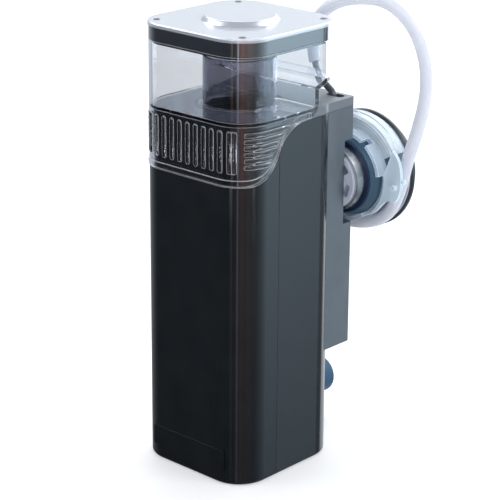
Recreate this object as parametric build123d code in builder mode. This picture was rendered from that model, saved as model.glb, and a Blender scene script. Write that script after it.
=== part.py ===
"""Hang-on-back protein filter: black tower housing, clear collecting cup, magnet holder and air hose.

Frame, millimetres: origin at the centre of the housing's base, +Z up, front towards -Y,
the aquarium glass towards +Y.
"""
import os
from math import cos, degrees, pi, radians, sin, sqrt, tan

from build123d import *

os.makedirs("parts", exist_ok=True)

# ---------------------------------------------------------------- driving dimensions
width = 90.0            # tower, along X
depth = 91.2            # tower, along Y
corner_r = 21.0         # vertical corners of the tower
wall = 2.4              # housing wall
floor_t = 3.0           # housing floor
front_top = 193.5       # top edge of the front shell
saddle_r = 26.4         # radius of both arcs of the S-shaped parting line
saddle_turn = 68.0      # angle of each arc
saddle_start = -39.2    # Y where the parting line leaves the horizontal
seam_y = -13.2          # joint between front and rear shells
seam_gap = 0.3
fit_gap = 0.3           # clearance between pieces that lift apart
cup_floor = 230.0       # underside of the cup's floor
cup_top = 272.0         # cup rim
cup_wall = 2.2
rear_floor = 246.5      # underside of the cup's raised rear floor
total_h = 283.0         # top face of the lid
lid_plate_t = 2.4
box_half = 80.0         # half size of cutting blocks

chamber_half = 43.5     # rear chamber, half width
chamber_rear = 57.2     # rear face of the rear chamber
chamber_low = 70.5      # underside of the rear chamber
recess_low, recess_high = 151.3, 205.5   # recess for the magnet holder
recess_y = 48.6         # back wall of the recess
recess_x = 7.0          # inner end of the recess
rear_lid_t = 5.6

mount_x, mount_z = 32.0, 178.4           # axis of the magnet holder
glass_y = 82.0          # plane of the glass face of the inner magnet
pump_z = 34.0           # pump axis height
hose_r = 4.0            # silicone air hose, outside radius

half_w, half_d = width / 2, depth / 2
shoulder = front_top + 2 * saddle_r * (1 - cos(radians(saddle_turn)))
saddle_end = saddle_start + 2 * saddle_r * sin(radians(saddle_turn))
lid_step_y, lid_step_top_y = 17.2, 22.4  # slanted front edge of the rear lid, low and high
rear_lid_z = shoulder + 0.2
rear_lid_top = rear_lid_z + rear_lid_t


def outline(inset):
    """Plan of the tower, moved inwards by inset."""
    return RectangleRounded(width - 2 * inset, depth - 2 * inset, corner_r - inset)


def parting_line(lift):
    """The S-shaped upper edge of the housing in the YZ plane, from front to the flat shoulder."""
    front = Line((-box_half, front_top + lift), (saddle_start, front_top + lift))
    low = JernArc(front @ 1, (1, 0), saddle_r, saddle_turn)
    high = JernArc(low @ 1, low % 1, saddle_r, -saddle_turn)
    return high @ 1


def tower_prism(inset, low, high):
    """A solid with the tower's plan between two heights."""
    with BuildPart() as prism:
        with BuildSketch(Plane.XY.offset(low)):
            outline(inset)
        extrude(amount=high - low)
    return prism.part


def block(x0, x1, y0, y1, z0, z1):
    """A box given by its limits, not yet joined to anything."""
    middle = Pos((x0 + x1) / 2, (y0 + y1) / 2, (z0 + z1) / 2)
    return middle * Box(x1 - x0, y1 - y0, z1 - z0, mode=Mode.PRIVATE)


def along_y(x, z, y):
    """Work plane across the Y axis whose local X is +X and whose normal is +Y."""
    return Plane(origin=(x, y, z), x_dir=(1, 0, 0), z_dir=(0, 1, 0))


mount = along_y(mount_x, mount_z, 0)
pump = along_y(0, pump_z, 0)


def ring(plane, y0, y1, r_out, r_in=0.0):
    """A disc or ring on a Y axis between two Y values."""
    with BuildPart() as disc:
        with BuildSketch(plane.offset(y0)):
            Circle(r_out)
            if r_in:
                Circle(r_in, mode=Mode.SUBTRACT)
        extrude(amount=y1 - y0)
    return disc.part


# ---------------------------------------------------------------- housing
housing_body = tower_prism(0, 0, total_h) - tower_prism(wall, floor_t, total_h + 1)
with BuildPart() as below_saddle:
    with BuildSketch(Plane.YZ):
        with BuildLine():
            end = parting_line(0)
            Polyline(end, (box_half, shoulder), (box_half, -1), (-box_half, -1), (-box_half, front_top))
        make_face()
    extrude(amount=box_half, both=True)
housing_body = housing_body & below_saddle.part

base_edge = 2.0
with BuildPart() as front_shell:
    add(housing_body)
    add(block(-box_half, box_half, seam_y - seam_gap / 2, box_half, -1, total_h), mode=Mode.SUBTRACT)
    fillet(front_shell.edges().group_by(Axis.Z)[0].filter_by(lambda e: e.center().Y < seam_y - 5), base_edge)
    # raised plain name panel, and ribs that stiffen the front wall
    with BuildSketch(Plane.XZ.offset(half_d)):
        with Locations((0, 16)):
            RectangleRounded(61, 13, 1.5)
    extrude(amount=0.4)
    with BuildSketch(Plane.XY.offset(floor_t)):
        with Locations((0, -half_d + wall + 1.4)):
            with GridLocations(30, 1, 2, 1):
                Rectangle(1.8, 3.2)
    extrude(amount=front_top - 20 - floor_t)
front_shell.part.label = "front_shell"
export_step(front_shell.part, "parts/front_shell.step")


window_low, window_high = 207.5, 222.5   # overflow window between tower and rear chamber
spacer_z = 28.0
gland_x, gland_z, gland_r = -15.0, 52.0, 5.0
running = 0.05          # radial clearance of a close fit
with BuildPart() as rear_housing:
    add(housing_body)
    add(block(-box_half, box_half, -box_half, seam_y + seam_gap / 2, -1, total_h), mode=Mode.SUBTRACT)
    fillet(rear_housing.edges().group_by(Axis.Z)[0].filter_by(lambda e: e.center().Y > seam_y + 5), base_edge)
    add(block(-34, 38, 38, half_d + 1, window_low, window_high), mode=Mode.SUBTRACT)
    add(block(-30, 30, 40, half_d + 1, 78, 92), mode=Mode.SUBTRACT)
    add(ring(along_y(0, spacer_z, 0), half_d - wall - 1, half_d + 1, 4 + running), mode=Mode.SUBTRACT)
    add(ring(along_y(gland_x, gland_z, 0), half_d - wall - 1, half_d + 1, gland_r + running), mode=Mode.SUBTRACT)
rear_housing.part.label = "rear_housing"
export_step(rear_housing.part, "parts/rear_housing.step")

collar_inset = wall + 0.6       # black neck that the cup slides over
collar_wall = 2.0
collar_low, collar_high = 182.0, 229.4
collar_rear = 14.2
riser_r = 22.0
neck_r = 27.5                   # opening in the collar's top plate
with BuildPart() as collar:
    with BuildSketch(Plane.XY.offset(collar_low)):
        outline(collar_inset)
        with Locations((0, box_half + collar_rear)):
            Rectangle(2 * box_half, 2 * box_half, mode=Mode.SUBTRACT)
    extrude(amount=collar_high - collar_low)
    with BuildSketch(Plane.XY.offset(collar_low)):
        outline(wall + 0.02)
        with Locations((0, box_half + collar_rear)):
            Rectangle(2 * box_half, 2 * box_half, mode=Mode.SUBTRACT)
    extrude(amount=5)
    with BuildSketch(Plane.XY.offset(collar_low)):
        outline(collar_inset + collar_wall)
        with Locations((0, box_half + collar_rear - collar_wall)):
            Rectangle(2 * box_half, 2 * box_half, mode=Mode.SUBTRACT)
    extrude(amount=collar_high - collar_low - 2, mode=Mode.SUBTRACT)
    with BuildSketch(Plane.XY.offset(collar_low)):
        Circle(neck_r)
    extrude(amount=collar_high - collar_low, mode=Mode.SUBTRACT)
    with BuildSketch(Plane.XY.offset(collar_low)):
        Circle(neck_r + 4)
    extrude(amount=24, mode=Mode.SUBTRACT)
collar.part.label = "collar"
export_step(collar.part, "parts/collar.step")

# inside clips that lock the two shells together across the seam
with BuildPart() as shell_clips:
    for side in (-1, 1):
        for height in (40, 140):
            with Locations((side * (half_w - wall - 1.0), seam_y, height)):
                Box(2.0, 14, 10)
shell_clips.part.label = "shell_clips"
export_step(shell_clips.part, "parts/shell_clips.step")

# ---------------------------------------------------------------- rear chamber and its lid
chamber_wall = 2.2
chamber_body = (block(-chamber_half, chamber_half, 30, chamber_rear, chamber_low, shoulder)
                - tower_prism(-0.02, 0, total_h))
chamber_inner = (block(-chamber_half + chamber_wall, chamber_half - chamber_wall, 30,
                       chamber_rear - chamber_wall, chamber_low + chamber_wall, total_h)
                 - tower_prism(-chamber_wall - 0.02, 0, total_h))
recess = block(recess_x, box_half, recess_y, box_half, recess_low, recess_high)
recess_shell = block(recess_x - chamber_wall, box_half, 30, box_half,
                     recess_low - chamber_wall, recess_high + chamber_wall)
hub_screw_x = (mount_x - 6.5, mount_x + 6.5)
with BuildPart() as rear_chamber:
    add(chamber_body)
    fillet(rear_chamber.edges().filter_by(Axis.Z).group_by(Axis.Y)[-1], 1.5)
    add(chamber_inner - recess_shell, mode=Mode.SUBTRACT)
    add(recess, mode=Mode.SUBTRACT)
    for x in hub_screw_x:
        add(ring(along_y(x, mount_z, 0), recess_y - 2.2, recess_y + 1, 1.65), mode=Mode.SUBTRACT)
    # the wall towards the tower is open at the overflow window and the return port
    add(block(-34, 38, 40, half_d + chamber_wall + 1, window_low, window_high), mode=Mode.SUBTRACT)
    add(block(-30, 30, 40, half_d + chamber_wall + 1, 78, 92), mode=Mode.SUBTRACT)
    # inlet slots in the lower rear wall
    with BuildSketch(Plane.XZ.offset(-chamber_rear)):
        with Locations((-18, 104)):
            with GridLocations(6, 1, 6, 1):
                SlotOverall(34, 2.4, rotation=90)
    extrude(amount=chamber_wall + 1, mode=Mode.SUBTRACT)
rear_chamber.part.label = "rear_chamber"
export_step(rear_chamber.part, "parts/rear_chamber.step")

hole_x, hole_y = 33.3, 51.0     # slot that the air tube comes out of
with BuildPart() as rear_lid:
    with BuildSketch(Plane.XY.offset(rear_lid_z)):
        outline(0)
        with Locations((0, 43)):
            Rectangle(2 * chamber_half, 2 * (chamber_rear - 43))
    extrude(amount=rear_lid_t)
    fillet(rear_lid.edges().filter_by(Axis.Z).group_by(Axis.Y)[-1], 1.5)
    with BuildSketch(Plane.YZ):
        with BuildLine():
            Polyline((-box_half, rear_lid_z - 1), (lid_step_y, rear_lid_z - 1), (lid_step_y, rear_lid_z),
                     (lid_step_top_y, rear_lid_top), (lid_step_top_y, rear_lid_top + 1),
                     (-box_half, rear_lid_top + 1), close=True)
        make_face()
    extrude(amount=box_half, both=True, mode=Mode.SUBTRACT)
    # locating lip inside the rear chamber
    with BuildSketch(Plane.XY.offset(rear_lid_z - 3)):
        with Locations((0, 50.9)):
            Rectangle(78, 5.6)
            Rectangle(74, 2.4, mode=Mode.SUBTRACT)
    extrude(amount=3.5)
    with BuildSketch(Plane.XY.offset(rear_lid_z - 4)):
        Circle(neck_r)
        with Locations((hole_x, hole_y)):
            SlotOverall(12.6, 6.4)
    extrude(amount=12, mode=Mode.SUBTRACT)
rear_lid.part.label = "rear_lid"
export_step(rear_lid.part, "parts/rear_lid.step")

with BuildPart() as filter_sponge:
    with Locations((-18, 51.4, 162)):
        Box(42, 6.4, 70)
filter_sponge.part.label = "filter_sponge"
export_step(filter_sponge.part, "parts/filter_sponge.step")

# ---------------------------------------------------------------- collecting cup
step_y = 21.4                   # wall between the deep and the raised floor
with BuildPart() as above_saddle:
    with BuildSketch(Plane.YZ):
        with BuildLine():
            end = parting_line(fit_gap)
            Polyline(end, (lid_step_y - fit_gap, shoulder + fit_gap),
                     (lid_step_top_y - fit_gap, rear_lid_top + fit_gap), (step_y, 243.5),
                     (31.5, rear_floor), (box_half, rear_floor), (box_half, cup_top),
                     (-box_half, cup_top), (-box_half, front_top + fit_gap))
        make_face()
    extrude(amount=box_half, both=True)
with BuildPart() as cup_hollow:
    with BuildSketch(Plane.YZ):
        with BuildLine():
            Polyline((-box_half, cup_floor + cup_wall), (step_y - cup_wall, cup_floor + cup_wall),
                     (step_y - cup_wall, 245), (step_y + 8, rear_floor + cup_wall),
                     (box_half, rear_floor + cup_wall), (box_half, cup_top + 5),
                     (-box_half, cup_top + 5), close=True)
        make_face()
    extrude(amount=box_half, both=True)
    add(tower_prism(cup_wall, 0, total_h), mode=Mode.INTERSECT)
skirt_wall = 2.6
skirt_hollow = (tower_prism(skirt_wall, 0, cup_floor)
                - block(-box_half, box_half, collar_rear + 0.4, box_half, -1, total_h))
skirt_hollow = skirt_hollow + extrude(Sketch() + Circle(neck_r), amount=cup_floor)
bead = 0.7                      # how far the rim bead stands proud of the skirt
rim_band = above_saddle.part - Pos(0, 0, 4.2) * above_saddle.part
flute_r, flute_sunk = 2.3, 1.5  # radius of a flute and how deep its axis lies in the skirt
flute_low, flute_high = 203.5, 226.0
flute_pitch = 6.6
corner_y = -half_d + corner_r


def flute_spot(run):
    """Point of the tower's front outline at a distance run from its middle, with its direction."""
    flat = half_w - corner_r
    side = 1 if run > 0 else -1
    along = max(0.0, abs(run) - flat) / corner_r
    reach = corner_r - flute_sunk
    x = min(abs(run), flat) + reach * sin(along)
    return side * x, corner_y - reach * cos(along)


flute_runs = [(i - 4) * flute_pitch for i in range(9)] + [side * run for side in (-1, 1) for run in (33.0, 35.6)]
vertical_flutes = [flute_spot(run) for run in flute_runs]
side_levels = [202.0 + 3.9 * i for i in range(7)]
side_r, side_sunk = 1.6, 0.9
side_x = half_w - side_sunk


def saddle_y(z):
    """Y of the parting line at a height between the front edge and the shoulder."""
    low_side = z - front_top < shoulder - z
    rise = z - front_top if low_side else shoulder - z
    run = sqrt(saddle_r**2 - (saddle_r - rise)**2)
    return saddle_start + run if low_side else saddle_end - run


with BuildPart() as flute_bars:
    for x, y in vertical_flutes:
        with BuildSketch(Plane.XY.offset(flute_low)):
            with Locations((x, y)):
                Circle(flute_r)
        extrude(amount=flute_high - flute_low)
    for x, y in vertical_flutes:
        with Locations((x, y, flute_low), (x, y, flute_high)):
            Sphere(flute_r)
with BuildPart() as side_bars:
    for z in side_levels:
        end_y = saddle_y(z) - 5.5
        middle = Vector(half_w - corner_r, corner_y, z)
        turn = radians(38)
        bend = side_x - middle.X
        with BuildLine():
            arc = JernArc((middle.X + bend * cos(turn), corner_y - bend * sin(turn), z),
                          (sin(turn), cos(turn), 0), bend, degrees(turn))
            Line(arc @ 1, (side_x, end_y, z))
        with BuildSketch(Plane(origin=arc @ 0, z_dir=arc % 0)):
            Circle(side_r)
        sweep()
        with Locations((side_x, end_y, z), arc @ 0):
            Sphere(side_r)
    mirror(about=Plane.YZ)

rim_bead = tower_prism(-bead, front_top - 5, shoulder + 4) - tower_prism(0.5, 0, total_h)
rim_bead = (rim_bead & rim_band) - block(-box_half, box_half, collar_rear, box_half, 0, total_h)
with BuildPart() as collecting_cup:
    add(tower_prism(0, front_top - 5, cup_top) & above_saddle.part)
    add(rim_bead)
    add(flute_bars.part)
    add(side_bars.part)
    add(cup_hollow.part, mode=Mode.SUBTRACT)
    add(skirt_hollow, mode=Mode.SUBTRACT)
    # seat of the riser tube
    with BuildSketch(Plane.XY.offset(cup_floor - 4)):
        Circle(riser_r + 2)
    extrude(amount=cup_wall + 4)
    with BuildSketch(Plane.XY.offset(cup_floor - 6)):
        Circle(riser_r + 0.02)
    extrude(amount=cup_top, mode=Mode.SUBTRACT)
collecting_cup.part.label = "collecting_cup"
export_step(collecting_cup.part, "parts/collecting_cup.step")

riser_low, riser_high = 200.5, 262.0
with BuildPart() as riser_tube:
    with BuildSketch(Plane.XY.offset(riser_low)):
        Circle(riser_r)
        Circle(riser_r - 1.8, mode=Mode.SUBTRACT)
    extrude(amount=riser_high - riser_low)
    fillet(riser_tube.edges().group_by(Axis.Z)[-1], 0.7)
riser_tube.part.label = "riser_tube"
export_step(riser_tube.part, "parts/riser_tube.step")

seal_z = 227.8
with BuildPart() as cup_seal:
    with BuildSketch(Plane.XZ):
        with Locations((riser_r + 2 + 1.4, seal_z)):
            Circle(1.4)
    revolve(axis=Axis.Z)
cup_seal.part.label = "cup_seal"
export_step(cup_seal.part, "parts/cup_seal.step")

# ---------------------------------------------------------------- lid
lid_low = cup_top + 0.2
plate_low = total_h - lid_plate_t
screw_inset = 9.8
spigot_h = 2.0                  # how far the lid reaches into the cup
lid_screw_x, lid_screw_y = half_w - screw_inset, half_d - screw_inset
with BuildPart() as lid_body:
    with BuildSketch(Plane.XY.offset(lid_low)):
        outline(0)
    extrude(amount=plate_low - lid_low)
    with BuildSketch(Plane.XY.offset(lid_low - spigot_h)):
        outline(cup_wall + 0.4)
    extrude(amount=spigot_h)
    with BuildSketch(Plane.XY.offset(lid_low - 5)):
        outline(cup_wall + 2.4)
    extrude(amount=plate_low - lid_low + 2.6, mode=Mode.SUBTRACT)
    with BuildSketch(Plane.XY.offset(lid_low)):
        with GridLocations(2 * lid_screw_x, 2 * lid_screw_y, 2, 2):
            Circle(3.4)
    extrude(amount=plate_low - lid_low)
    with BuildSketch(Plane.XY.offset(lid_low + 2)):
        with GridLocations(2 * lid_screw_x, 2 * lid_screw_y, 2, 2):
            Circle(1.2)
    extrude(amount=plate_low, mode=Mode.SUBTRACT)
lid_body.part.label = "lid_body"
export_step(lid_body.part, "parts/lid_body.step")

dome_r, dome_h = 24.0, 3.0
with BuildPart() as lid_plate:
    with BuildSketch(Plane.XY.offset(plate_low)):
        outline(-0.5)
    extrude(amount=lid_plate_t)
    fillet(lid_plate.edges().group_by(Axis.Z)[-1], 0.9)
    with BuildSketch(Plane.XY.offset(total_h)):
        Circle(dome_r)
    extrude(amount=dome_h, taper=35)
    fillet(lid_plate.edges().group_by(Axis.Z)[-1], 1.0)
    with Locations(Plane.XY.offset(total_h)):
        with GridLocations(2 * lid_screw_x, 2 * lid_screw_y, 2, 2):
            CounterBoreHole(radius=1.25, counter_bore_radius=2.25, counter_bore_depth=1.2)
lid_plate.part.label = "lid_plate"
export_step(lid_plate.part, "parts/lid_plate.step")

with BuildPart() as lid_screws:
    for x in (-lid_screw_x, lid_screw_x):
        for y in (-lid_screw_y, lid_screw_y):
            with Locations((x, y, total_h - 1.15)):
                Cylinder(2.1, 1.3, align=(Align.CENTER, Align.CENTER, Align.MIN))
                Cylinder(1.2, 7, align=(Align.CENTER, Align.CENTER, Align.MAX))
            with Locations((x, y, total_h + 0.15)):
                Box(2.6, 0.5, 0.6, align=(Align.CENTER, Align.CENTER, Align.MAX), mode=Mode.SUBTRACT)
                Box(0.5, 2.6, 0.6, align=(Align.CENTER, Align.CENTER, Align.MAX), mode=Mode.SUBTRACT)
lid_screws.part.label = "lid_screws"
export_step(lid_screws.part, "parts/lid_screws.step")

with BuildPart() as lid_gasket:
    add(tower_prism(0.3, cup_top, lid_low) - tower_prism(cup_wall - 0.1, 0, total_h))
lid_gasket.part.label = "lid_gasket"
export_step(lid_gasket.part, "parts/lid_gasket.step")

# ---------------------------------------------------------------- foam column inside the tower
column_r = 29.0
plate_z = 66.0
with BuildPart() as reaction_tube:
    with BuildSketch(Plane.XY.offset(plate_z + 3)):
        Circle(column_r)
        Circle(column_r - 2, mode=Mode.SUBTRACT)
    extrude(amount=118)
    with BuildSketch(Plane.XY.offset(plate_z + 121)):
        Circle(column_r)
        Circle(column_r - 2, mode=Mode.SUBTRACT)
    extrude(amount=14, taper=16)
    with BuildSketch(Plane.XY.offset(plate_z + 121)):
        Circle(column_r - 2)
    extrude(amount=15, taper=16, mode=Mode.SUBTRACT)
reaction_tube.part.label = "reaction_tube"
export_step(reaction_tube.part, "parts/reaction_tube.step")

with BuildPart() as bubble_plate:
    with BuildSketch(Plane.XY.offset(plate_z)):
        Circle(column_r + 2.5)
        for ring_r, holes in ((6, 6), (12, 12), (18, 18), (24, 24)):
            with PolarLocations(ring_r, holes):
                Circle(1.3, mode=Mode.SUBTRACT)
    extrude(amount=3)
    with BuildSketch(Plane.XY.offset(plate_z + 3)):
        Circle(column_r + 2.5)
        Circle(column_r + 0.02, mode=Mode.SUBTRACT)
    extrude(amount=4)
bubble_plate.part.label = "bubble_plate"
export_step(bubble_plate.part, "parts/bubble_plate.step")

# ---------------------------------------------------------------- needle-wheel pump, axis along Y
motor_front, motor_rear = 6.0, 38.0
motor_half = 22.0
well_r = 9.0
shaft_r = 1.25
with BuildPart() as motor_body:
    with BuildSketch(pump.offset(motor_front)):
        RectangleRounded(2 * motor_half, 46, 8)
        Circle(well_r, mode=Mode.SUBTRACT)
    extrude(amount=28)
    with BuildSketch(pump.offset(motor_front + 28)):
        RectangleRounded(2 * motor_half, 46, 8)
    extrude(amount=4)
    with BuildSketch(Plane.XY.offset(floor_t)):
        with Locations((0, 22)):
            Rectangle(24, 18)
    extrude(amount=pump_z - 23 - floor_t + 0.5)
motor_body.part.label = "motor_body"
export_step(motor_body.part, "parts/motor_body.step")

rotor_magnet = ring(pump, 9.5, 30.5, 7.6, shaft_r)
rotor_magnet.label = "rotor_magnet"
export_step(rotor_magnet, "parts/rotor_magnet.step")

rotor_shaft = ring(pump, -11.5, 33.4, shaft_r)
rotor_shaft.label = "rotor_shaft"
export_step(rotor_shaft, "parts/rotor_shaft.step")

rear_bush = ring(pump, 31.0, 34.0, 4.0, shaft_r + running)
rear_bush.label = "rear_bush"
export_step(rear_bush, "parts/rear_bush.step")

front_bush = ring(pump, -13.6, -11.0, 3.6, shaft_r + running)
front_bush.label = "front_bush"
export_step(front_bush, "parts/front_bush.step")

with BuildPart() as well_cover:
    add(ring(pump, 2.4, 6.0, 12, shaft_r + 0.25))
    add(ring(pump, 6.0, 8.5, well_r - 0.02, well_r - 2))
well_cover.part.label = "well_cover"
export_step(well_cover.part, "parts/well_cover.step")

needle_count = 10
with BuildPart() as needle_wheel:
    add(ring(pump, 0.4, 2.0, 15, shaft_r))
    add(ring(pump, -3.0, 0.5, 3.2, shaft_r))
    for circle_r in (6.5, 10.0, 13.4):
        with BuildSketch(pump.offset(-6.5)):
            with PolarLocations(circle_r, needle_count):
                Circle(0.8)
        extrude(amount=7)
needle_wheel.part.label = "needle_wheel"
export_step(needle_wheel.part, "parts/needle_wheel.step")

volute_r = 19.0
with BuildPart() as volute:
    add(ring(pump, -12.0, 6.0, volute_r, volute_r - 2.2))
    add(ring(pump, -12.0, -10.0, volute_r, 9.0))
    add(ring(pump, -13.6, -10.0, 5.2, 3.6))
    for turn in (0, 90, 180, 270):
        with BuildSketch(pump.offset(-12)):
            with PolarLocations(7.2, 1, start_angle=turn):
                Rectangle(4.6, 1.6)
        extrude(amount=2)
    with BuildSketch(Plane.XY.offset(pump_z + volute_r - 2)):
        with Locations((0, -2.6)):
            Circle(6.5)
    extrude(amount=plate_z - (pump_z + volute_r - 2))
    with BuildSketch(Plane.XY.offset(pump_z + volute_r - 4)):
        with Locations((0, -2.6)):
            Circle(4.8)
    extrude(amount=plate_z - pump_z, mode=Mode.SUBTRACT)
    # barb for the air tube
    with BuildSketch(Plane(origin=(15, -6, pump_z + 6), z_dir=(1, 0, 0))):
        Circle(2.0)
    extrude(amount=9)
volute.part.label = "volute"
export_step(volute.part, "parts/volute.step")

# ---------------------------------------------------------------- air line
def tube_along(points, radii, r_out):
    """A round tube as a solid along straight runs joined by arcs."""
    with BuildPart() as tube:
        with BuildLine() as route:
            FilletPolyline(*points, radius=radii)
        with BuildSketch(Plane(origin=route.line @ 0, z_dir=route.line % 0)):
            Circle(r_out)
        sweep()
    return tube.part, sum(edge.length for edge in route.line.edges())


def arc_radii(points, share=0.45):
    """The largest tangent arc at each inner corner of a route."""
    spots = [Vector(*point) for point in points]
    radii = []
    for before, here, after in zip(spots, spots[1:], spots[2:]):
        run_in, run_out = here - before, after - here
        turn = radians(run_in.get_angle(run_out))
        radii.append(share * min(run_in.length, run_out.length) / tan(turn / 2))
    return radii


elbow_points = [
    (31, 32, 206), (31, 32, 217), (31.4, 50, 219), (31.5, 51.2, 233.2), (17, 53.4, 241), (13, 54.6, 250),
]
air_elbow = tube_along(elbow_points, [4, 4, 5, 8], 2.2)[0]
air_elbow.label = "air_elbow"
export_step(air_elbow, "parts/air_elbow.step")

inner_tube_points = [(31, 32, 206), (31, 32, 92), (36, -6, 62), (36, -6, 40), (24, -6, 40)]
inner_air_tube = tube_along(inner_tube_points, [12, 10, 6], 2.5)[0]
inner_air_tube.label = "inner_air_tube"
export_step(inner_air_tube, "parts/inner_air_tube.step")

# the silicone hose: up behind the cup, over in a wide loop, down through the guide on the magnet
# holder, round under the hub and into the throttle fitting behind the rear chamber
hose_points = [
    (13, 54.6, 250), (8.8, 55.8, 260.5), (11.5, 56.8, 275.5), (21, 59.5, 286.5), (35, 65, 291.8),
    (55, 72.5, 291.8), (71, 77.5, 278.5), (79.5, 80.5, 258), (81, 81, 236), (76, 80, 213), (70.5, 77.5, 193),
    (67, 75.5, 171), (58, 75.5, 153), (38, 75, 144), (16, 71, 145.2), (-3, 68, 147),
]
hose_radii = arc_radii(hose_points)
air_hose, hose_length = tube_along(hose_points, hose_radii, hose_r)
air_hose.label = "air_hose"
export_step(air_hose, "parts/air_hose.step")
print("hose length", round(hose_length, 1), "radii", [round(r, 1) for r in hose_radii])
print("hose volume over section times length", round(air_hose.volume / (pi * hose_r**2 * hose_length), 4))

throttle_dir = (Vector(*hose_points[-1]) - Vector(*hose_points[-2])).normalized()
throttle_plane = Plane(origin=hose_points[-1], z_dir=throttle_dir)
throttle_r, screw_r = 5.0, 4.2
with BuildPart() as throttle_body:
    with BuildSketch(throttle_plane):
        Circle(throttle_r)
    extrude(amount=16)
    fillet(throttle_body.edges().filter_by(GeomType.CIRCLE), 0.8)
    with BuildSketch(throttle_plane.offset(10)):
        Circle(1.55)
    extrude(amount=8, mode=Mode.SUBTRACT)
throttle_body.part.label = "throttle_body"
export_step(throttle_body.part, "parts/throttle_body.step")

with BuildPart() as throttle_screw:
    with BuildSketch(throttle_plane.offset(10.5)):
        Circle(1.5)
    extrude(amount=6.5)
    with BuildSketch(throttle_plane.offset(16.2)):
        Circle(screw_r)
        with PolarLocations(screw_r, 16):
            Circle(0.35, mode=Mode.SUBTRACT)
    extrude(amount=6)
throttle_screw.part.label = "throttle_screw"
export_step(throttle_screw.part, "parts/throttle_screw.step")

# clip on the rear chamber that holds the throttle body
hold = Vector(*hose_points[-1]) + throttle_dir * 8
with BuildPart() as throttle_clip:
    with BuildSketch(Plane(origin=hold - throttle_dir * 3.5, z_dir=throttle_dir)):
        Circle(throttle_r + 1.8)
    extrude(amount=7)
    add(block(hold.X - 4, hold.X + 4, chamber_rear, hold.Y, hold.Z - 4.5, hold.Z + 4.5))
    with BuildSketch(Plane(origin=hold - throttle_dir * 12, z_dir=throttle_dir)):
        Circle(throttle_r)
    extrude(amount=24, mode=Mode.SUBTRACT)
    add(block(hold.X - 12, hold.X + 12, hold.Y + 3.4, hold.Y + 12, hold.Z - 12, hold.Z + 12), mode=Mode.SUBTRACT)
throttle_clip.part.label = "throttle_clip"
export_step(throttle_clip.part, "parts/throttle_clip.step")

# ---------------------------------------------------------------- magnet holder
hub_r = 19.0
band_front, band_rear = 50.2, 58.2
magnet_r = 21.0
magnet_front = band_rear + 1.6
band_r = 21.2
with BuildPart() as hub:
    add(ring(mount, recess_y, magnet_front, hub_r))
    for turn in range(6):
        with BuildSketch(mount.offset(recess_y)):
            with PolarLocations(14.2, 1, start_angle=60 * turn + 20):
                RectangleRounded(4.4, 8.4, 1.4)
        extrude(amount=5, mode=Mode.SUBTRACT)
    for x in hub_screw_x:
        add(ring(along_y(x, mount_z, 0), recess_y - 1, 61, 1.65), mode=Mode.SUBTRACT)
        add(ring(along_y(x, mount_z, 0), 56.5, 61, 3.1), mode=Mode.SUBTRACT)
hub.part.label = "hub"
export_step(hub.part, "parts/hub.step")

with BuildPart() as hub_screws:
    for x in hub_screw_x:
        add(ring(along_y(x, mount_z, 0), recess_y - 2.1, 56.5, 1.6))
        add(ring(along_y(x, mount_z, 0), 56.5, 58.6, 3.0))
        with Locations((x, 58.5, mount_z)):
            Box(4.4, 1.2, 0.7, mode=Mode.SUBTRACT)
hub_screws.part.label = "hub_screws"
export_step(hub_screws.part, "parts/hub_screws.step")

steel_band = ring(mount, band_front, band_rear, band_r, hub_r)
steel_band.label = "steel_band"
export_step(steel_band, "parts/steel_band.step")

seal_ring = ring(mount, band_rear, band_rear + 1.6, 23.4, hub_r)
seal_ring.label = "seal_ring"
export_step(seal_ring, "parts/seal_ring.step")

with BuildPart() as bevelled:
    with BuildSketch(Plane.XY):
        with BuildLine():
            Polyline((magnet_r, band_rear + 1.6), (23.8, band_rear + 1.6), (26.2, 64.0),
                     (26.2, 66.6), (magnet_r, 66.6), close=True)
        make_face()
    revolve(axis=Axis.Y)
buffer_ring = Pos(mount_x, 0, mount_z) * bevelled.part
buffer_ring.label = "buffer_ring"
export_step(buffer_ring, "parts/buffer_ring.step")

inner_magnet = ring(mount, magnet_front, 74.0, magnet_r)
inner_magnet.label = "inner_magnet"
export_step(inner_magnet, "parts/inner_magnet.step")

hood_front, hood_rear, hood_r = 69.7, 80.0, 38.2
case_r = 26.6
ring_r = 29.4
hood_start, hood_sweep = 28, 172        # degrees, measured from +X towards +Z
with BuildPart() as magnet_case:
    add(ring(mount, 66.6, 74.0, case_r, magnet_r))
    add(ring(mount, 74.0, hood_rear, case_r))
magnet_case.part.label = "magnet_case"
export_step(magnet_case.part, "parts/magnet_case.step")


def sector(plane, y0, y1, r_out, r_in, start, sweep_angle):
    """Part of a ring on a Y axis; angles go from +X towards +Z."""
    with BuildPart() as piece:
        with BuildSketch(plane.offset(y0)):
            with BuildLine():
                outer = CenterArc((0, 0), r_out, -start, -sweep_angle)
                inner = CenterArc((0, 0), r_in, -start, -sweep_angle)
                Line(outer @ 0, inner @ 0)
                Line(outer @ 1, inner @ 1)
            make_face()
        extrude(amount=y1 - y0)
    return piece.part


with BuildPart() as guide_hood:
    add(sector(mount, hood_front, hood_front + 2.0, hood_r, case_r, hood_start, hood_sweep))
    add(sector(mount, hood_front, hood_rear, hood_r, hood_r - 2.0, hood_start, hood_sweep))
    add(sector(mount, hood_front - 0.8, hood_front, 36.4, 34.8, hood_start, hood_sweep))
    add(sector(mount, 74.4, 76.0, hood_r + 0.7, hood_r - 0.5, hood_start, hood_sweep))
guide_hood.part.label = "guide_hood"
export_step(guide_hood.part, "parts/guide_hood.step")

with BuildPart() as grip_tabs:
    # clear fingers that hold the blue ring
    for start in (9, 60, 111, 162, 213, 264):
        add(sector(mount, 60.8, hood_front, ring_r, 27.2, start, 42))
    add(ring(mount, 68.0, hood_front, ring_r, case_r))
grip_tabs.part.label = "grip_tabs"
export_step(grip_tabs.part, "parts/grip_tabs.step")


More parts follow.
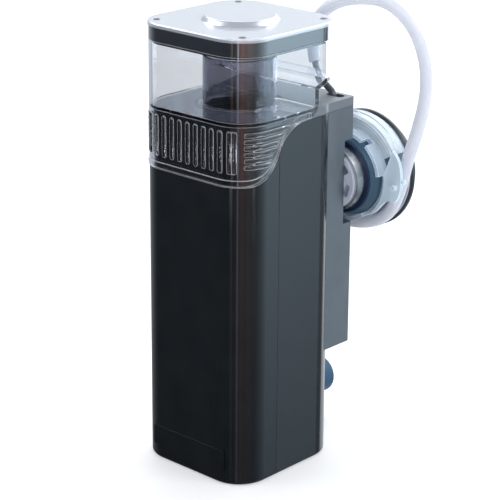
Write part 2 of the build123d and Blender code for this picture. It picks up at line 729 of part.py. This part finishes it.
def polar(radius, angle):
    """Point of the mount plane's own coordinates; angles go from +X towards +Z."""
    return radius * cos(radians(angle)), -radius * sin(radians(angle))


# clear arm in front of the hose: a blade from the hood's end down to the side of the ring
arm_front, arm_rear = 65.6, 68.0
arm_edge = [(41.4, 31), (43.3, 22), (43.0, 7), (42.0, -8), (39.6, -17)]
arm_foot = [(39.6, -17), (34.4, -20), (31.4, -33), (ring_r, -54)]
peg_radius, peg_angle = 38.4, -2
with BuildPart() as hose_arm:
    with BuildSketch(mount.offset(arm_front)):
        with BuildLine():
            outer = Spline(*[polar(radius, angle) for radius, angle in arm_edge])
            foot = Spline(*[polar(radius, angle) for radius, angle in arm_foot])
            inner = CenterArc((0, 0), ring_r, 54, -62)
            Line(inner @ 1, outer @ 0)
        make_face()
    extrude(amount=arm_rear - arm_front)
    with BuildSketch(mount.offset(arm_front - 2.6)):
        with Locations(polar(peg_radius, peg_angle)):
            Circle(1.8)
    extrude(amount=3)
    with Locations((mount_x + 44.3, arm_front + 1.2, mount_z + 3.0)):
        Sphere(1.9)
    with Locations((mount_x + 42.9, arm_front + 1.2, mount_z + 3.0)):
        Cylinder(1.1, 3.4, rotation=(0, 90, 0))
hose_arm.part.label = "hose_arm"
export_step(hose_arm.part, "parts/hose_arm.step")

inner_pad = ring(mount, hood_rear, glass_y, case_r)
inner_pad.label = "inner_pad"
export_step(inner_pad, "parts/inner_pad.step")

outer_front = glass_y + 0.1     # the two magnets rest on each other when off the glass
case_front, cover_front, outer_rear = 83.6, 92.6, 95.4
case_rim_t, case_taper = 2.6, 42.0     # thickness of the disc's rim, and slope of its back in degrees
cover_r = 32.2
outer_pad = ring(mount, outer_front, case_front, 36.4)
outer_pad.label = "outer_pad"
export_step(outer_pad, "parts/outer_pad.step")

with BuildPart() as outer_case:
    add(ring(mount, case_front, case_front + case_rim_t, 38.0))
    with BuildSketch(mount.offset(case_front + case_rim_t)):
        Circle(38.0)
    extrude(amount=cover_front - case_front - case_rim_t, taper=case_taper)
    chamfer(outer_case.edges().filter_by(GeomType.CIRCLE).group_by(Axis.Y)[0], 1.0)
    add(ring(mount, case_front + 1.6, cover_front + 1, magnet_r + 0.5), mode=Mode.SUBTRACT)
outer_case.part.label = "outer_case"
export_step(outer_case.part, "parts/outer_case.step")

outer_magnet = ring(mount, case_front + 1.6, case_front + 8.0, magnet_r)
outer_magnet.label = "outer_magnet"
export_step(outer_magnet, "parts/outer_magnet.step")

with BuildPart() as outer_cover:
    add(ring(mount, cover_front, outer_rear, cover_r))
    fillet(outer_cover.edges().filter_by(GeomType.CIRCLE).group_by(Axis.Y)[-1], 1.8)
    add(ring(mount, case_front + 8.0, cover_front, magnet_r + 0.45, magnet_r - 3))
    add(ring(mount, outer_rear - 0.01, outer_rear + 1.6, 24.0, 21.0))
outer_cover.part.label = "outer_cover"
export_step(outer_cover.part, "parts/outer_cover.step")

# ---------------------------------------------------------------- lower spacer and cable gland
with BuildPart() as spacer_stem:
    stem_plane = along_y(0, spacer_z, 0)
    add(ring(stem_plane, half_d - wall - 2.0, 72.0, 4.0))
    add(ring(stem_plane, half_d - wall - 4.0, half_d - wall, 6.5))
    add(ring(stem_plane, half_d, half_d + 2.0, 7.5))
spacer_stem.part.label = "spacer_stem"
export_step(spacer_stem.part, "parts/spacer_stem.step")

spacer_r = 12.3
with BuildPart() as spacer_foot:
    add(ring(stem_plane, 64.0, glass_y, spacer_r))
    fillet(spacer_foot.edges().filter_by(GeomType.CIRCLE).group_by(Axis.Y)[0], 5.0)
    fillet(spacer_foot.edges().filter_by(GeomType.CIRCLE).group_by(Axis.Y)[-1], 2.2)
    add(ring(stem_plane, 60.0, 72.0, 4.0), mode=Mode.SUBTRACT)
spacer_foot.part.label = "spacer_foot"
export_step(spacer_foot.part, "parts/spacer_foot.step")

gland_plane = along_y(gland_x, gland_z, 0)
with BuildPart() as cable_gland:
    add(ring(gland_plane, half_d - wall - 3.0, half_d, gland_r, 2.8))
    add(ring(gland_plane, half_d, half_d + 3.0, gland_r + 2.2, 2.8))
    add(ring(gland_plane, half_d + 3.0, half_d + 7.0, gland_r, 2.8))
    add(ring(gland_plane, half_d - wall - 5.0, half_d - wall, gland_r + 2.0, 2.8))
cable_gland.part.label = "cable_gland"
export_step(cable_gland.part, "parts/cable_gland.step")
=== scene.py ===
"""Looks for the hang on back filter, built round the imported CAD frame. Units are metres."""
import math

import bpy
import bmesh
from mathutils import Matrix, Vector, noise


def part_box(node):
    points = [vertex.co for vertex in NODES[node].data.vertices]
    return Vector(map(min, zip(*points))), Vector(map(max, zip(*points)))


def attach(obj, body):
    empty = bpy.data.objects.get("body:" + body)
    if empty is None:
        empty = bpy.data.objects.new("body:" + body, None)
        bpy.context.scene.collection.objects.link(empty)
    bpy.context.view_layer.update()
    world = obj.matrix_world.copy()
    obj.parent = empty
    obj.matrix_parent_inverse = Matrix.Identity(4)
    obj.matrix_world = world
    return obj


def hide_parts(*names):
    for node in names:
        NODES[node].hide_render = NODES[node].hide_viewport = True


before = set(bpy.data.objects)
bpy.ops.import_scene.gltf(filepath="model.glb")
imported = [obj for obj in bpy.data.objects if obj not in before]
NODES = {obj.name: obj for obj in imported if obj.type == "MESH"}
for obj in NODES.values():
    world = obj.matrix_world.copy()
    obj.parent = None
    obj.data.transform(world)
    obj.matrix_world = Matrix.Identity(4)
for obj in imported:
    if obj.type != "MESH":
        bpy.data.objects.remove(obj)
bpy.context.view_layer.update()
scene = bpy.context.scene
scene.view_settings.view_transform = "Standard"

MM = 0.001


# ---------------------------------------------------------------- camera
CAMERA_AZIMUTH, CAMERA_PITCH, CAMERA_ROLL = (math.radians(v) for v in (42.667, 18.697, 0.397))
CAMERA_AT = (0.76017, -0.814766, 0.527407)
CAMERA_LENS_MM = 135.81
CAMERA_SHIFT_Y = -0.044


def make_camera():
    data = bpy.data.cameras.new("view_camera")
    data.lens, data.sensor_width, data.shift_y = CAMERA_LENS_MM, 36.0, CAMERA_SHIFT_Y
    data.clip_start, data.clip_end = 0.05, 20
    camera = bpy.data.objects.new("view_camera", data)
    scene.collection.objects.link(camera)
    a, e, r = CAMERA_AZIMUTH, CAMERA_PITCH, CAMERA_ROLL
    ahead = Vector((-math.sin(a) * math.cos(e), math.cos(a) * math.cos(e), -math.sin(e)))
    level = Vector((math.cos(a), math.sin(a), 0))
    over = level.cross(ahead)
    right = level * math.cos(r) + over * math.sin(r)
    up = over * math.cos(r) - level * math.sin(r)
    turn = Matrix((right, up, -ahead)).transposed().to_4x4()
    camera.matrix_world = Matrix.Translation(CAMERA_AT) @ turn
    scene.camera = camera


make_camera()


# ---------------------------------------------------------------- air hose
HOSE_POINTS_MM = [
    (13, 54.6, 250), (8.8, 55.8, 260.5), (11.5, 56.8, 275.5), (21, 59.5, 286.5),
    (35, 65, 291.8), (55, 72.5, 291.8), (71, 77.5, 278.5), (79.5, 80.5, 258),
    (81, 81, 236), (76, 80, 213), (70.5, 77.5, 193), (67, 75.5, 171),
    (58, 75.5, 153), (38, 75, 144), (16, 71, 145.2), (-3, 68, 147),
]
HOSE_LENGTH, HOSE_RADIUS = 0.2914, 0.004


def make_hose():
    curve = bpy.data.curves.new("silicone_air_hose", "CURVE")
    curve.dimensions = "3D"
    curve.bevel_depth, curve.bevel_resolution, curve.resolution_u = 1.0, 8, 14
    curve.use_fill_caps = True
    spline = curve.splines.new("NURBS")
    spline.points.add(len(HOSE_POINTS_MM) - 1)
    for point, at in zip(spline.points, HOSE_POINTS_MM):
        point.co = (at[0] * MM, at[1] * MM, at[2] * MM, 1)
        point.radius = HOSE_RADIUS      # times a bevel depth of 1, so that the object's box stays true
    spline.order_u, spline.use_endpoint_u = 3, True
    hose = bpy.data.objects.new("silicone_air_hose", curve)
    scene.collection.objects.link(hose)
    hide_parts("air_hose")
    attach(hose, "housing")
    return hose


hose = make_hose()


# ---------------------------------------------------------------- materials
class Tree:
    """A short way to add shader nodes and link them."""

    def __init__(self, tree):
        self.tree = tree
        tree.nodes.clear()

    def add(self, kind, settings=None, **inputs):
        node = self.tree.nodes.new("ShaderNode" + kind)
        for key, value in (settings or {}).items():
            setattr(node, key, value)
        for key, value in inputs.items():
            numbered = key[0] == "i" and key[1:].isdigit()      # i3 is the socket of index 3
            self.feed(node.inputs[int(key[1:]) if numbered else key.replace("_", " ")], value)
        return node

    def feed(self, socket, value):
        """Link the socket to another node's output, or set it to a plain value."""
        if isinstance(value, bpy.types.NodeSocket):
            self.tree.links.new(value, socket)
        else:
            socket.default_value = value

    def ramp(self, fac, stops, mode="LINEAR"):
        node = self.add("ValToRGB", None, i0=fac)
        node.color_ramp.interpolation = mode
        marks = node.color_ramp.elements
        while len(marks) > 1:
            marks.remove(marks[-1])
        marks[0].position, marks[0].color = stops[0][0], (*stops[0][1], 1)
        for at, rgb in stops[1:]:
            mark = marks.new(at)
            mark.color = (*rgb, 1)
        return node.outputs[0]

    def math(self, how, *values):
        node = self.add("Math", {"operation": how})
        for socket, value in zip(node.inputs, values):
            self.feed(socket, value)
        return node.outputs[0]

    def span(self, value, low, high, start=0.0, end=1.0):
        """A value from start to end mapped to low to high."""
        return self.add("MapRange", None, Value=value, From_Min=start, From_Max=end, To_Min=low,
                        To_Max=high).outputs[0]

    def blend(self, how_much, first, second):
        """Two colours mixed: the first at 0, the second at 1."""
        return self.add("Mix", {"data_type": "RGBA", "clamp_factor": True}, i0=how_much, i6=first,
                        i7=second).outputs[2]

    def edge_turn(self, rounded):
        """How far the rounded normal has turned from the flat one: 0 on a face, more at an edge."""
        flat = self.add("NewGeometry").outputs["Normal"]
        dot = self.add("VectorMath", {"operation": "DOT_PRODUCT"}, i0=rounded, i1=flat).outputs["Value"]
        return self.math("SUBTRACT", 1.0, dot)


def rgba(colour):
    return (*colour, 1.0)


WAVE_MM = 1.0                       # depth of the slow wave in a large moulded wall
WEAR_GAIN = 6.0                     # how fast an edge takes its worn tint
EDGE_START, EDGE_MOST = 0.015, 0.9  # where the painted edge highlight starts, and the most it covers
DUST_GREY = (0.7, 0.72, 0.75, 1)
SHADOW_TINT = (0.96, 0.96, 0.98, 1)


def surface(name, colour, rough, second=None, mottle=60.0, stretch=(1, 1, 1), rough_vary=0.05,
            grain=900.0, bump=0.05, bump_mm=0.05, wave=0.0, wave_scale=14.0, edge_mm=0.3,
            edge_tint=None, dust=0.0, shadow_clear=0.0, edge_light=None, edge_gain=10.0, **principled):
    """A moulded or turned surface: colour and roughness that vary, fine bump and rounded edges, and where
    asked a painted white highlight on the edges.
    """
    material = bpy.data.materials.new(name)
    material.use_nodes = True
    t = Tree(material.node_tree)
    place = t.add("TexCoord").outputs["Object"]
    place = t.add("Mapping", None, Vector=place, Scale=stretch).outputs[0]
    cloud = t.add("TexNoise", None, Vector=place, Scale=mottle, Detail=5.0, Roughness=0.6).outputs["Fac"]
    fine = t.add("TexNoise", None, Vector=place, Scale=grain, Detail=3.0, Roughness=0.55).outputs["Fac"]
    second = second or tuple(min(1.0, c * 1.18 + 0.002) for c in colour)
    paint = t.ramp(cloud, [(0.3, colour), (0.7, second)])
    rounded = t.add("Bevel", {"samples": 4}, Radius=edge_mm * MM).outputs[0]
    if edge_tint:
        worn = t.math("MULTIPLY", t.edge_turn(rounded), WEAR_GAIN)
        worn = t.math("MULTIPLY", worn, t.span(cloud, 0.3, 1.3))
        paint = t.blend(worn, paint, rgba(edge_tint))
    if dust:
        up = t.add("SeparateXYZ", None, i0=t.add("NewGeometry").outputs["Normal"]).outputs[2]
        settled = t.math("MULTIPLY", t.math("MAXIMUM", up, 0.0), t.span(fine, 0.0, dust))
        paint = t.blend(settled, paint, DUST_GREY)
    rough_now = t.span(cloud, rough - rough_vary, rough + rough_vary)
    rough_now = t.math("ADD", rough_now, t.span(fine, -0.02, 0.02))
    normal = t.add("Bump", None, Strength=bump, Distance=bump_mm * MM, Height=fine,
                   Normal=rounded).outputs[0]
    if wave:
        slow = t.add("TexNoise", None, Vector=place, Scale=wave_scale, Detail=1.0).outputs["Fac"]
        normal = t.add("Bump", None, Strength=wave, Distance=WAVE_MM * MM, Height=slow,
                       Normal=normal).outputs[0]
    out = t.add("BsdfPrincipled", None, Base_Color=paint, Roughness=rough_now, Normal=normal,
                **principled).outputs[0]
    # painted highlight: a white diffuse mix on the rounded edges stands in for the highlights that the edges
    # catch
    if edge_light:
        past = t.math("MAXIMUM", t.math("SUBTRACT", t.edge_turn(rounded), EDGE_START), 0.0)
        lit = t.math("MINIMUM", t.math("MULTIPLY", past, edge_gain), EDGE_MOST)
        highlight_white = t.add("BsdfDiffuse", None, Color=rgba(edge_light)).outputs[0]
        out = t.add("MixShader", None, i0=lit, i1=out, i2=highlight_white).outputs[0]
    if shadow_clear:
        ghost = t.add("BsdfTransparent", None, Color=SHADOW_TINT).outputs[0]
        shade = t.math("MULTIPLY", t.add("LightPath").outputs["Is Shadow Ray"], shadow_clear)
        out = t.add("MixShader", None, i0=shade, i1=out, i2=ghost).outputs[0]
    t.add("OutputMaterial", None, i0=out)
    return material


def clear(name, tint, rough, ior=1.49, through=1.0, grain=420.0, bump=0.03, **more):
    """Clear or tinted moulded plastic that lets light through to what is behind it."""
    return surface(name, tint, rough, second=tuple(min(1, c * 1.02) for c in tint),
                   rough_vary=min(rough, 0.02), Transmission_Weight=through, IOR=ior,
                   shadow_clear=0.85, grain=grain, bump=bump, **more)


def brushed(name, colour, rough, **more):
    """Turned or brushed metal, its fine lines drawn out along Y."""
    return surface(name, colour, rough, stretch=(1.0, 30.0, 1.0), grain=160.0, mottle=18.0, bump=0.12,
                   rough_vary=0.08, Metallic=1.0, **more)


looks = {
    "front_shell": surface("gloss_black_front", (0.006, 0.0075, 0.009), 0.10, wave=0.02, wave_scale=9,
                           bump=0.02, rough_vary=0.03, edge_mm=0.15),
    "rear_housing": surface("gloss_black_side", (0.010, 0.012, 0.014), 0.16, wave=0.02, wave_scale=9,
                            bump=0.03, rough_vary=0.03, edge_mm=0.15),
    "collar": surface("collar_black", (0.004, 0.0045, 0.006), 0.14, Specular_IOR_Level=0.5),
    "rear_chamber": surface("chamber_satin", (0.085, 0.105, 0.122), 0.34, bump=0.12,
                            edge_tint=(0.16, 0.18, 0.20)),
    "rear_lid": surface("rear_lid_satin", (0.13, 0.15, 0.17), 0.30, bump=0.10, dust=0.10,
                        edge_tint=(0.24, 0.26, 0.29)),
    "shell_clips": surface("clip_black", (0.02, 0.021, 0.024), 0.35, bump=0.15),
    "volute": surface("volute_black", (0.012, 0.013, 0.015), 0.4, bump=0.2),
    "well_cover": surface("well_cover_black", (0.014, 0.015, 0.017), 0.38, bump=0.2),
    "throttle_clip": surface("throttle_clip_black", (0.015, 0.016, 0.018), 0.4, bump=0.2),
    "throttle_body": surface("throttle_body_grey", (0.05, 0.052, 0.056), 0.4, bump=0.2),
    "spacer_stem": surface("stem_black", (0.013, 0.014, 0.016), 0.38, bump=0.2),
    "cable_gland": surface("gland_black", (0.012, 0.012, 0.013), 0.55, bump=0.35, grain=1500),
    "filter_sponge": surface("sponge_blue", (0.03, 0.10, 0.22), 0.95, bump=1.0, bump_mm=0.6, grain=700),
    # painted highlight on the edges of the cup, and below it on the hood, tabs and hose arm
    "collecting_cup": clear("cup_clear", (0.84, 0.855, 0.885), 0.006, bump=0.004, edge_mm=0.35,
                            edge_light=(0.97, 0.98, 1.0), edge_gain=22.0),
    "riser_tube": clear("riser_smoke", (0.40, 0.40, 0.45), 0.015, bump=0.01, edge_mm=0.3),
    "reaction_tube": clear("column_clear", (0.84, 0.86, 0.90), 0.03),
    "bubble_plate": clear("plate_clear", (0.80, 0.82, 0.88), 0.05),
    "cup_seal": surface("seal_black", (0.012, 0.012, 0.016), 0.55, bump=0.25),
    "lid_gasket": surface("gasket_black", (0.014, 0.014, 0.018), 0.55, bump=0.25),
    "lid_body": surface("lid_band_gloss", (0.012, 0.014, 0.018), 0.07, bump=0.02, IOR=2.2,
                        Coat_Weight=0.6, Coat_Roughness=0.03),
    "lid_plate": surface("lid_silver", (0.62, 0.64, 0.68), 0.20, second=(0.635, 0.655, 0.695), bump=0.02,
                         mottle=25.0, rough_vary=0.015, grain=1400, edge_mm=0.9, Metallic=0.6,
                         Coat_Weight=0.25, Coat_Roughness=0.10),
    "lid_screws": brushed("screw_dark", (0.14, 0.145, 0.16), 0.35),
    "hub_screws": brushed("hub_screw_steel", (0.25, 0.26, 0.28), 0.35),
    "motor_body": surface("motor_resin", (0.012, 0.018, 0.03), 0.3, bump=0.2, wave=0.1),
    "rotor_magnet": surface("rotor_magnet_grey", (0.05, 0.05, 0.055), 0.45, bump=0.3),
    "inner_magnet": surface("plated_magnet_in", (0.5, 0.5, 0.52), 0.25, Metallic=1.0, bump=0.15),
    "outer_magnet": surface("plated_magnet_out", (0.5, 0.5, 0.52), 0.25, Metallic=1.0, bump=0.15),
    "rotor_shaft": surface("ceramic_shaft", (0.85, 0.85, 0.82), 0.2, bump=0.05),
    "rear_bush": surface("bush_rubber_rear", (0.02, 0.02, 0.021), 0.7, bump=0.4),
    "front_bush": surface("bush_rubber_front", (0.02, 0.02, 0.021), 0.7, bump=0.4),
    "needle_wheel": surface("needle_white", (0.72, 0.74, 0.77), 0.4, bump=0.15),
    "air_elbow": clear("air_tube_grey", (0.10, 0.105, 0.12), 0.15, through=0.25),
    "inner_air_tube": clear("inner_tube_milky", (0.8, 0.81, 0.86), 0.3, through=0.3),
    "throttle_screw": surface("throttle_grey", (0.06, 0.062, 0.07), 0.42, bump=0.3),
    "hub": surface("hub_white", (0.52, 0.56, 0.66), 0.3, second=(0.58, 0.62, 0.72), bump=0.1),
    "steel_band": brushed("band_steel", (0.38, 0.375, 0.37), 0.24, Anisotropic=0.6),
    # painted shade: the seal ring is a darker copy of the buffer ring's rubber, put where the ring's recess
    # lies in shade
    "seal_ring": surface("navy_rubber", (0.006, 0.02, 0.06), 0.4, bump=0.2),
    "spacer_foot": surface("foot_navy", (0.02, 0.065, 0.13), 0.5, bump=0.3, edge_tint=(0.05, 0.12, 0.2)),
    "buffer_ring": surface("slate_rubber", (0.03, 0.075, 0.12), 0.45, bump=0.3,
                           edge_tint=(0.07, 0.14, 0.2)),
    "magnet_case": surface("case_dark_blue", (0.05, 0.075, 0.11), 0.35, bump=0.2),
    "guide_hood": clear("hood_frosted", (0.86, 0.93, 0.98), 0.12, through=0.60, bump=0.008, edge_mm=0.5,
                        edge_light=(0.86, 0.92, 0.97)),
    "grip_tabs": clear("tabs_clear", (0.80, 0.90, 0.98), 0.06, through=0.70, bump=0.008, edge_mm=0.5,
                       edge_light=(0.70, 0.86, 0.97)),
    "hose_arm": clear("arm_frosted", (0.78, 0.90, 0.98), 0.2, through=0.38, bump=0.01, edge_mm=0.5,
                      edge_light=(0.80, 0.90, 0.97)),
    "inner_pad": surface("pad_in_pale", (0.35, 0.4, 0.46), 0.7, bump=0.4),
    "outer_pad": surface("pad_out_pale", (0.35, 0.4, 0.46), 0.7, bump=0.4),
    "outer_case": surface("outer_satin_black", (0.022, 0.028, 0.034), 0.3, bump=0.12,
                          edge_tint=(0.16, 0.19, 0.22)),
    "outer_cover": surface("outer_cover_black", (0.020, 0.024, 0.028), 0.32, bump=0.12,
                           edge_tint=(0.1, 0.12, 0.14)),
}
for name, look in looks.items():
    NODES[name].data.materials.clear()
    NODES[name].data.materials.append(look)

hose.data.materials.append(clear("hose_milky", (0.80, 0.82, 0.89), 0.24, through=0.35, bump=0.05,
                                 Subsurface_Weight=0.35, Subsurface_Scale=0.004,
                                 Subsurface_Radius=(1.0, 1.0, 1.0)))


# ---------------------------------------------------------------- filter sponge
SPONGE_CELL, SPONGE_INSET = 0.0012, 0.0004      # mesh spacing, and the room kept inside the CAD block
PORE_DEPTH, EDGE_ROUND = 0.0005, 0.0014
EDGE_PULL = 0.35                                # how far an edge draws in, as a share of its rounding
LARGE_PORES, SMALL_PORES = 900, 2100            # noise scales
LARGE_BIAS, SMALL_SHARE = 0.25, 0.5


def make_sponge():
    """An open-cell foam block with softened edges and pores on every face, inside the CAD block's room."""
    low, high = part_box("filter_sponge")
    size = [b - a for a, b in zip(low, high)]
    middle = [(a + b) / 2 for a, b in zip(low, high)]
    counts = [max(4, round(s / SPONGE_CELL)) for s in size]
    mesh = bmesh.new()
    seen = {}

    def spot(key):
        """The vertex at a grid place, made the first time that it is asked for."""
        if key in seen:
            return seen[key]
        at = Vector([low[n] + SPONGE_INSET + (size[n] - 2 * SPONGE_INSET) * key[n] / counts[n]
                     for n in range(3)])
        inner = [1 if at[n] < middle[n] else -1 for n in range(3)]
        near = [max(0.0, 1 - min(at[n] - low[n], high[n] - at[n]) / EDGE_ROUND) for n in range(3)]
        pull = [inner[n] * near[n] * max(near[n - 1], near[n - 2]) * EDGE_ROUND * EDGE_PULL for n in range(3)]
        inward = Vector([inner[n] if key[n] in (0, counts[n]) else 0 for n in range(3)])
        pores = max(0.0, noise.noise(at * LARGE_PORES) + LARGE_BIAS)
        pores += SMALL_SHARE * max(0.0, noise.noise(at * SMALL_PORES))
        seen[key] = mesh.verts.new(at + Vector(pull) + inward.normalized() * PORE_DEPTH * pores)
        return seen[key]

    for n in range(3):
        u, v = [m for m in range(3) if m != n]
        for end in (0, counts[n]):
            for a in range(counts[u]):
                for b in range(counts[v]):
                    corners = []
                    for da, db in ((0, 0), (1, 0), (1, 1), (0, 1)):
                        key = [0, 0, 0]
                        key[n], key[u], key[v] = end, a + da, b + db
                        corners.append(spot(tuple(key)))
                    mesh.faces.new(corners)
    bmesh.ops.recalc_face_normals(mesh, faces=mesh.faces)
    data = bpy.data.meshes.new("foam_block")
    mesh.to_mesh(data)
    mesh.free()
    data.materials.append(looks["filter_sponge"])
    sponge = bpy.data.objects.new("foam_block", data)
    scene.collection.objects.link(sponge)
    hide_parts("filter_sponge")
    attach(sponge, "housing")


make_sponge()


# ---------------------------------------------------------------- floor
FLOOR_HALF, FLOOR_Z = 4.0, -0.0002


def make_floor():
    """A plain pale floor, slightly self-lit so that it meets the white background."""
    mesh = bpy.data.meshes.new("studio_floor")
    corners = [(x * FLOOR_HALF, y * FLOOR_HALF, FLOOR_Z) for x, y in ((-1, -1), (1, -1), (1, 1), (-1, 1))]
    mesh.from_pydata(corners, [], [(0, 1, 2, 3)])
    floor = bpy.data.objects.new("studio_floor", mesh)
    scene.collection.objects.link(floor)
    mesh.materials.append(surface("floor_paper", (0.80, 0.80, 0.80), 0.7, second=(0.82, 0.82, 0.82),
                                  mottle=3, bump=0.05, edge_mm=0.0, Emission_Color=(1, 1, 1, 1),
                                  Emission_Strength=0.36))
    floor.visible_glossy = floor.visible_transmission = False


make_floor()


# ---------------------------------------------------------------- what the glossy surfaces reflect
# Bearings are in degrees: 0 towards -Y, 90 towards +X. Each stop of the ring is a bearing and its colour.
DARK = (0.05, 0.06, 0.075)
REFLECTED_RING = [
    (-180, (2.2, 2.4, 2.6)), (-162, (2.0, 2.1, 2.3)), (-140, (0.6, 0.65, 0.7)), (-90, (0.35, 0.38, 0.42)),
    (-60, DARK), (8, DARK), (14, (0.45, 0.33, 0.3)), (17, DARK), (30, (0.16, 0.14, 0.15)),
    (32, (1.3, 1.3, 1.5)), (34, (1.3, 1.3, 1.5)), (36, (0.3, 0.2, 0.2)), (48, (0.62, 0.37, 0.33)),
    (56, (0.36, 0.28, 0.275)), (70, (0.44, 0.38, 0.37)), (88, (0.28, 0.27, 0.285)),
    (98, (0.3, 0.36, 0.40)), (120, (0.62, 0.80, 0.92)), (134, (0.95, 1.24, 1.45)),
    (139, (1.1, 1.45, 1.70)), (143, (0.34, 0.40, 0.46)), (163, (0.25, 0.29, 0.34)),
    (168, (2.6, 2.8, 3.0)), (180, (2.2, 2.4, 2.6)),
]
GROUND_Z, GROUND_GAIN, HORIZON_Z, HORIZON_GAIN = -0.44, 0.42, -0.20, 1.45
# higher zones, each fading in between two heights of the direction's Z
HIGH_ZONES = [
    (0.25, 0.55, (1.25, 1.3, 1.42, 1)),
    (0.42, 0.50, (3.6, 3.8, 4.1, 1)),
    (0.66, 0.76, (0.35, 0.37, 0.42, 1)),
]
LOW_BOX_Z, LOW_BOX_COLOUR = -0.283, (9.0, 9.6, 11.0, 1)
LOW_BOXES = ((11.0, 5.0), (88.0, 5.5))          # bearing of the middle and half the width
LOW_BOX_FADE, LOW_BOX_FULL, LOW_BOX_END = 0.7, 0.003, 0.006     # sideways in degrees, upwards in Z
BEHIND_WHITE, DIFFUSE_SKY = (1, 1, 1, 1), (0.60, 0.63, 0.68, 1)


def make_world():
    """White to the camera, soft grey to diffuse rays, and dark and bright bands to reflections."""
    world = bpy.data.worlds.new("studio")
    scene.world = world
    world.use_nodes = True
    t = Tree(world.node_tree)
    x, y, z = t.add("SeparateXYZ", None, i0=t.add("TexCoord").outputs["Generated"]).outputs
    bearing = t.math("ARCTAN2", x, t.math("MULTIPLY", y, -1.0))
    turn = t.math("ADD", t.math("DIVIDE", bearing, 2 * math.pi), 0.5)

    def at(degrees):
        return (degrees + 180) / 360

    ring = t.ramp(turn, [(at(degrees), colour) for degrees, colour in REFLECTED_RING])
    height = t.span(z, GROUND_GAIN, HORIZON_GAIN, GROUND_Z, HORIZON_Z)
    gloss = t.add("VectorMath", {"operation": "SCALE"}, i0=ring, Scale=height).outputs[0]
    for start, end, colour in HIGH_ZONES:
        gloss = t.blend(t.span(z, 0.0, 1.0, start, end), gloss, colour)
    for middle, half in LOW_BOXES:
        off = t.math("ABSOLUTE", t.math("SUBTRACT", turn, at(middle)))
        across = t.span(off, 1.0, 0.0, (half - LOW_BOX_FADE) / 360, half / 360)
        drop = t.math("ABSOLUTE", t.math("SUBTRACT", z, LOW_BOX_Z))
        along = t.span(drop, 1.0, 0.0, LOW_BOX_FULL, LOW_BOX_END)
        gloss = t.blend(t.math("MULTIPLY", across, along), gloss, LOW_BOX_COLOUR)
    path = t.add("LightPath")
    plain = t.blend(path.outputs["Is Diffuse Ray"], BEHIND_WHITE, DIFFUSE_SKY)
    reflected = t.math("MINIMUM", path.outputs["Glossy Depth"], 1.0)
    back = t.add("Background", None, Color=t.blend(reflected, plain, gloss), Strength=1.0).outputs[0]
    t.tree.links.new(back, t.tree.nodes.new("ShaderNodeOutputWorld").inputs[0])


make_world()


# ---------------------------------------------------------------- lights
def area_light(name, at, towards, size, watts, colour):
    """A soft light that the glossy surfaces don't mirror."""
    data = bpy.data.lights.new(name, "AREA")
    data.shape, data.energy, data.color = "RECTANGLE", watts, colour
    data.size, data.size_y = size
    light = bpy.data.objects.new(name, data)
    light.location = at
    light.rotation_euler = (Vector(towards) - Vector(at)).to_track_quat("-Z", "Y").to_euler()
    light.visible_glossy = False
    scene.collection.objects.link(light)


area_light("overhead_softbox", (-0.25, 0.55, 1.5), (0, 0, 0.2), (1.1, 0.9), 10, (1.0, 0.99, 0.98))
area_light("front_softbox", (-0.9, -1.1, 1.2), (0, 0, 0.15), (0.9, 0.9), 5, (1.0, 0.99, 0.97))
area_light("side_softbox", (1.3, 0.5, 0.8), (0.02, 0, 0.15), (0.7, 0.9), 7, (0.95, 0.98, 1.0))
